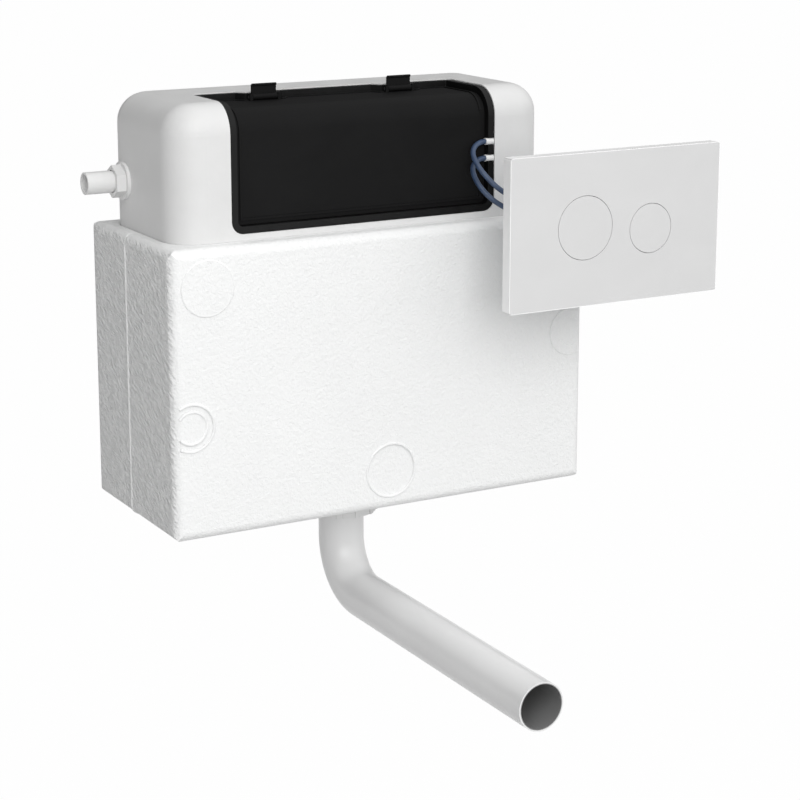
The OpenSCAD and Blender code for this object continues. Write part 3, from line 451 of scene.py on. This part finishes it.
def make_bellows(node, folds=3, fold_depth=0.005, fold_steps=14, wall=0.0012):
    low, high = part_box(node)
    centre = (low + high) / 2
    valley = (high.x - low.x) / 2 - fold_depth
    front, rear = low.y, high.y
    steps = fold_steps * folds
    wave = []
    for k in range(steps + 1):
        share = k / steps
        swing = 0.5 - 0.5 * math.cos(2 * math.pi * folds * share)
        wave.append((valley + fold_depth * swing, front + wall + share * (rear - front - wall)))
    inside = [(radius - wall, y) for radius, y in wave]
    profile = [(0.0, front), (valley, front), *wave, *reversed(inside), (0.0, front + wall)]
    piece = turn_profile(node + "_folds", centre, profile)
    dress(piece, "seal_black")
    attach(piece, "cistern")
    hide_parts(node)
    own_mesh(piece)


make_bellows("full_bellows")
make_bellows("half_bellows")


# Trees of Geometry Nodes for what follows a path or repeats

class PieceTree:
    """A tree for one kind of piece, with its named sizes and its finish as inputs."""

    def __init__(self, name, *labels):
        self.tree = bpy.data.node_groups.new(name, "GeometryNodeTree")
        face = self.tree.interface
        face.new_socket("Geometry", in_out="INPUT", socket_type="NodeSocketGeometry")
        kinds = {**dict.fromkeys(labels, "NodeSocketFloat"), "Finish": "NodeSocketMaterial"}
        self.keys = {label: face.new_socket(label, in_out="INPUT", socket_type=kind).identifier
                     for label, kind in kinds.items()}
        face.new_socket("Geometry", in_out="OUTPUT", socket_type="NodeSocketGeometry")
        self.size = self.tree.nodes.new("NodeGroupInput").outputs
        self.exit = self.tree.nodes.new("NodeGroupOutput")

    def add(self, kind, settings=None, inputs=None):
        """A node's first output. An input can take a value, a socket or a list of sockets."""
        node = self.tree.nodes.new(kind)
        for key, value in (settings or {}).items():
            setattr(node, key, value)
        for key, value in (inputs or {}).items():
            sources = value if isinstance(value, list) else [value]
            for source in sources:
                if isinstance(source, bpy.types.NodeSocket):
                    self.tree.links.new(source, node.inputs[key])
                else:
                    node.inputs[key].default_value = source
        return node.outputs[0]

    def close(self, geometry):
        real = self.add("GeometryNodeRealizeInstances", inputs={"Geometry": geometry})
        dressed = self.add("GeometryNodeSetMaterial", inputs={
            "Geometry": real, "Material": self.size["Finish"]})
        self.tree.links.new(dressed, self.exit.inputs[0])

    def make(self, name, places, edges, slot, sizes):
        """A plain mesh piece on the root body, grown on these places and the edges between them."""
        points = bpy.data.meshes.new(name + "_places")
        points.from_pydata(places, edges, [])
        carrier = bpy.data.objects.new(name + "_places", points)
        bpy.context.scene.collection.objects.link(carrier)
        modifier = carrier.modifiers.new(name, "NODES")
        modifier.node_group = self.tree
        for label, value in {**sizes, "Finish": FINISHES[slot]}.items():
            modifier[self.keys[label]] = value
        bpy.context.view_layer.update()
        grown = carrier.evaluated_get(bpy.context.evaluated_depsgraph_get())
        piece = smooth_piece(name, bpy.data.meshes.new_from_object(grown))
        bpy.data.objects.remove(carrier)
        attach(piece, "cistern")
        return piece


# Beads on the foam: along the joint of its halves and round its mould marks

JACKET_ROUND = 0.009
CORNER_STEPS = 8
MARK_STEP = 0.001
MARK_ENDS = 0.006
MARK_TURNS = 144
# Each mark's place from the jacket's lower left corner, across and up, and its radius (millimetres)
MARK_RIMS = [(36, 234, 25), (425, 152, 23), (425, 152, 15), (223, 38.5, 26), (18, 107, 22), (18, 107, 15)]
SEAM_BEAD = {"width": 0.0044, "rise": 0.0009}
RIM_BEAD = {"width": 0.0028, "rise": 0.0011}


def foam_bead_tree():
    """Round bead along every line of edges."""
    tree = PieceTree("foam_bead", "Bead radius")
    line = tree.add("GeometryNodeMeshToCurve", inputs={"Mesh": tree.size["Geometry"]})
    section = tree.add("GeometryNodeCurvePrimitiveCircle", inputs={
        "Resolution": 24, "Radius": tree.size["Bead radius"]})
    tree.close(tree.add("GeometryNodeCurveToMesh", inputs={
        "Curve": line, "Profile Curve": section, "Fill Caps": True}))
    return tree


def bead_radius(width, rise):
    """Radius of a round bead that shows this width and rise above the face it is sunk in."""
    return (width * width / 4 + rise * rise) / (2 * rise)


def seam_line(sink):
    """Down the left side at the joint, under the jacket and up the right side. Its ends stay open."""
    top, bottom = JACKET_HIGH.z - JACKET_ROUND, JACKET_LOW.z + JACKET_ROUND
    left, right = JACKET_LOW.x + JACKET_ROUND, JACKET_HIGH.x - JACKET_ROUND
    corner = [90 * k / CORNER_STEPS for k in range(CORNER_STEPS + 1)]
    turns = [(left, top, 180), *((left, bottom, 180 + turn) for turn in corner),
             *((right, bottom, 270 + turn) for turn in corner), (right, top, 360)]
    return [on_ring(Vector((x, 0, z)), JACKET_LOW.y, JACKET_ROUND - sink, math.radians(turn))
            for x, z, turn in turns], False


def mark_line(x, z, radius, sink):
    """Round one mould mark. It is open where the jacket's upright edge cuts into it."""
    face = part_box("jacket_front")[0].y + MARK_STEP
    centre = Vector((JACKET_LOW.x + x / 1000, 0, JACKET_LOW.z + z / 1000))
    start = 0 if centre.x > 0 else math.pi
    ring = [on_ring(centre, face + sink, radius / 1000, start + 2 * math.pi * k / MARK_TURNS)
            for k in range(MARK_TURNS)]
    line = [place for place in ring if abs(place[0]) <= JACKET_HIGH.x - MARK_ENDS]
    return line, len(line) == MARK_TURNS


def lay_bead(tree, name, radius, lines):
    places, edges = [], []
    for line, closed in lines:
        first = len(places)
        places += line
        last = len(places) - 1
        edges += [(k, k + 1) for k in range(first, last)]
        if closed:
            edges.append((last, first))
    tree.make(name, places, edges, "foam_white", {"Bead radius": radius})


def make_foam_beads():
    tree = foam_bead_tree()
    radius = bead_radius(**SEAM_BEAD)
    lay_bead(tree, "jacket_seam_ridge", radius, [seam_line(radius - SEAM_BEAD["rise"])])
    radius = bead_radius(**RIM_BEAD)
    rims = [mark_line(*mark, radius - RIM_BEAD["rise"]) for mark in MARK_RIMS]
    lay_bead(tree, "mould_mark_rims", radius, rims)


make_foam_beads()


# Finger clips with a lower tab than the solids have, as in the photograph

CLIP_TAB_TOP = 0.004
CLIP_TAB_CUT = 0.007


def make_low_clip(node):
    mesh = bmesh.new()
    mesh.from_mesh(frame["nodes"][node].data)
    bmesh.ops.remove_doubles(mesh, verts=mesh.verts, dist=WELD)
    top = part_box(node)[1].z
    for corner in mesh.verts:
        if corner.co.z > top - CLIP_TAB_TOP:
            corner.co.z -= CLIP_TAB_CUT
    piece = built_piece(node + "_low_tab", mesh, 30)
    dress(piece, SLOT_OF[node])
    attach(piece, node)
    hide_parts(node)


make_low_clip("clip_left")
make_low_clip("clip_right")


# Pump screws: one head with a cross slot on every screw place

SCREW = {"Head radius": 0.0026, "Head height": 0.002, "Shank radius": 0.0012, "Slot width": 0.0007,
         "Slot depth": 0.0011}
SCREW_RIM = 0.0006
SCREW_TURNS = (30, 150, 270)


def pump_screw_tree():
    tree = PieceTree("pump_screw", *SCREW, "Shank length")
    size = tree.size

    def scaled(label, factor):
        return tree.add("ShaderNodeMath", {"operation": "MULTIPLY"}, {0: size[label], 1: factor})

    def across(x, y, z):
        return tree.add("ShaderNodeCombineXYZ", inputs={"X": x, "Y": y, "Z": z})

    def moved(mesh, z):
        return tree.add("GeometryNodeTransform", inputs={
            "Geometry": mesh, "Translation": across(0.0, 0.0, z)})

    def round_bar(sides, radius, length, middle):
        bar = tree.add("GeometryNodeMeshCylinder", {"fill_type": "NGON"}, {
            "Vertices": sides, "Radius": size[radius], "Depth": size[length]})
        return moved(bar, scaled(length, middle))

    head = round_bar(40, "Head radius", "Head height", 0.5)
    shank = round_bar(24, "Shank radius", "Shank length", -0.5)
    blade = scaled("Head radius", 1.25)
    slots = []
    for span in ((blade, size["Slot width"]), (size["Slot width"], blade)):
        slot = tree.add("GeometryNodeMeshCube", inputs={"Size": across(*span, scaled("Slot depth", 2.0))})
        slots.append(moved(slot, size["Head height"]))
    slotted = tree.add("GeometryNodeMeshBoolean", {"operation": "DIFFERENCE", "solver": "EXACT"}, {
        "Mesh 1": head, "Mesh 2": slots})
    screw = tree.add("GeometryNodeJoinGeometry", inputs={"Geometry": [slotted, shank]})
    tree.close(tree.add("GeometryNodeInstanceOnPoints", inputs={
        "Points": size["Geometry"], "Instance": screw, "Rotation": (-math.pi / 2, 0, 0)}))
    return tree


def make_pump_screws():
    low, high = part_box("pump_screws")
    seat = high.y - SCREW["Head height"]
    places = []
    for cup in ("full_pump_cup", "half_pump_cup"):
        a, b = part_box(cup)
        ring = (b.x - a.x) / 2 - SCREW["Head radius"] - SCREW_RIM
        places += [on_ring((a + b) / 2, seat, ring, -math.radians(turn)) for turn in SCREW_TURNS]
    sizes = {**SCREW, "Shank length": seat - low.y}
    piece = pump_screw_tree().make("pump_screw_heads", places, [], "steel", sizes)
    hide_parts("pump_screws")


make_pump_screws()


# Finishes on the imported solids

for node_name, node_object in frame["nodes"].items():
    dress(node_object, SLOT_OF[node_name])


# Studio: a pale floor, a white surround and soft light

FLOOR_REACH = 60
FLOOR_LEVEL = -0.75
FLOOR_TONE = 0.6
FLOOR_GLOW = 0.985
TENT_TOP = (0.45, -0.50, 0.74)
TENT_DIM = 0.045
TENT_BRIGHT = 1.31
LAMP_PLACE = (-1.2, -2.67, 1.4)
LAMP_TARGET = (0, -0.1, 0.05)
LAMP_SIZE = 2.6
LAMP_POWER = 54


def seen_directly(finish):
    """1 where the camera, or a reflection or glass in its view, looks straight at the surface."""
    rays = finish.add("ShaderNodeLightPath").socket.node.outputs
    kinds = ("Is Camera Ray", "Is Glossy Ray", "Is Transmission Ray")
    return sum(Value(finish, rays[kind]) for kind in kinds).clamp()


def lay_floor():
    ways = ((-1, -1), (1, -1), (1, 1), (-1, 1))
    corners = [(FLOOR_REACH * x, FLOOR_REACH * y, FLOOR_LEVEL) for x, y in ways]
    mesh = bpy.data.meshes.new("studio_floor")
    mesh.from_pydata(corners, [], [(0, 1, 2, 3)])
    floor = bpy.data.objects.new("studio_floor", mesh)
    bpy.context.scene.collection.objects.link(floor)
    f = Finish("studio_floor", Base_Color=(*grey(FLOOR_TONE), 1), Roughness=0.9)
    glow = f.add("ShaderNodeEmission", inputs={"Color": (1, 1, 1, 1), "Strength": 1.0})
    surface = f.add("ShaderNodeMixShader", inputs={
        0: seen_directly(f) * FLOOR_GLOW, 1: Value(f, f.shader.outputs[0]), 2: glow})
    f.feed(f.tree.nodes["Material Output"].inputs["Surface"], surface)
    mesh.materials.append(f.material)


def light_world():
    """Studio tent: brightest above and to the front right, dim behind, plain white to the camera."""
    world = bpy.data.worlds.new("studio_surround")
    bpy.context.scene.world = world
    world.use_nodes = True
    tree = world.node_tree
    tree.nodes.clear()

    def glow(color, strength):
        node = tree.nodes.new("ShaderNodeBackground")
        node.inputs["Color"].default_value = color
        node.inputs["Strength"].default_value = strength
        return node.outputs[0]

    def mix(*sources):
        node = tree.nodes.new("ShaderNodeMixShader")
        for source, socket in zip(sources, node.inputs):
            tree.links.new(source, socket)
        return node.outputs[0]

    toward = tree.nodes.new("ShaderNodeTexCoord")
    facing = tree.nodes.new("ShaderNodeVectorMath")
    facing.operation = "DOT_PRODUCT"
    tree.links.new(toward.outputs["Generated"], facing.inputs[0])
    facing.inputs[1].default_value = TENT_TOP
    tent = mix(facing.outputs["Value"], glow((0.98, 0.99, 1, 1), TENT_DIM), glow((1, 1, 1, 1), TENT_BRIGHT))
    rays = tree.nodes.new("ShaderNodeLightPath")
    seen = mix(rays.outputs["Is Camera Ray"], tent, glow((1, 1, 1, 1), 1.0))
    tree.links.new(seen, tree.nodes.new("ShaderNodeOutputWorld").inputs["Surface"])


def hang_key_lamp():
    """A big soft lamp behind and above the camera, so that the plate hides most of its own shadow."""
    data = bpy.data.lights.new("key_lamp", "AREA")
    data.shape = "RECTANGLE"
    data.size = LAMP_SIZE
    data.size_y = LAMP_SIZE
    data.energy = LAMP_POWER
    lamp = bpy.data.objects.new("key_lamp", data)
    lamp.location = LAMP_PLACE
    lamp.rotation_euler = (Vector(LAMP_TARGET) - Vector(LAMP_PLACE)).to_track_quat("-Z", "Y").to_euler()
    bpy.context.scene.collection.objects.link(lamp)


lay_floor()
light_world()
hang_key_lamp()

bpy.context.scene.view_settings.view_transform = "Standard"
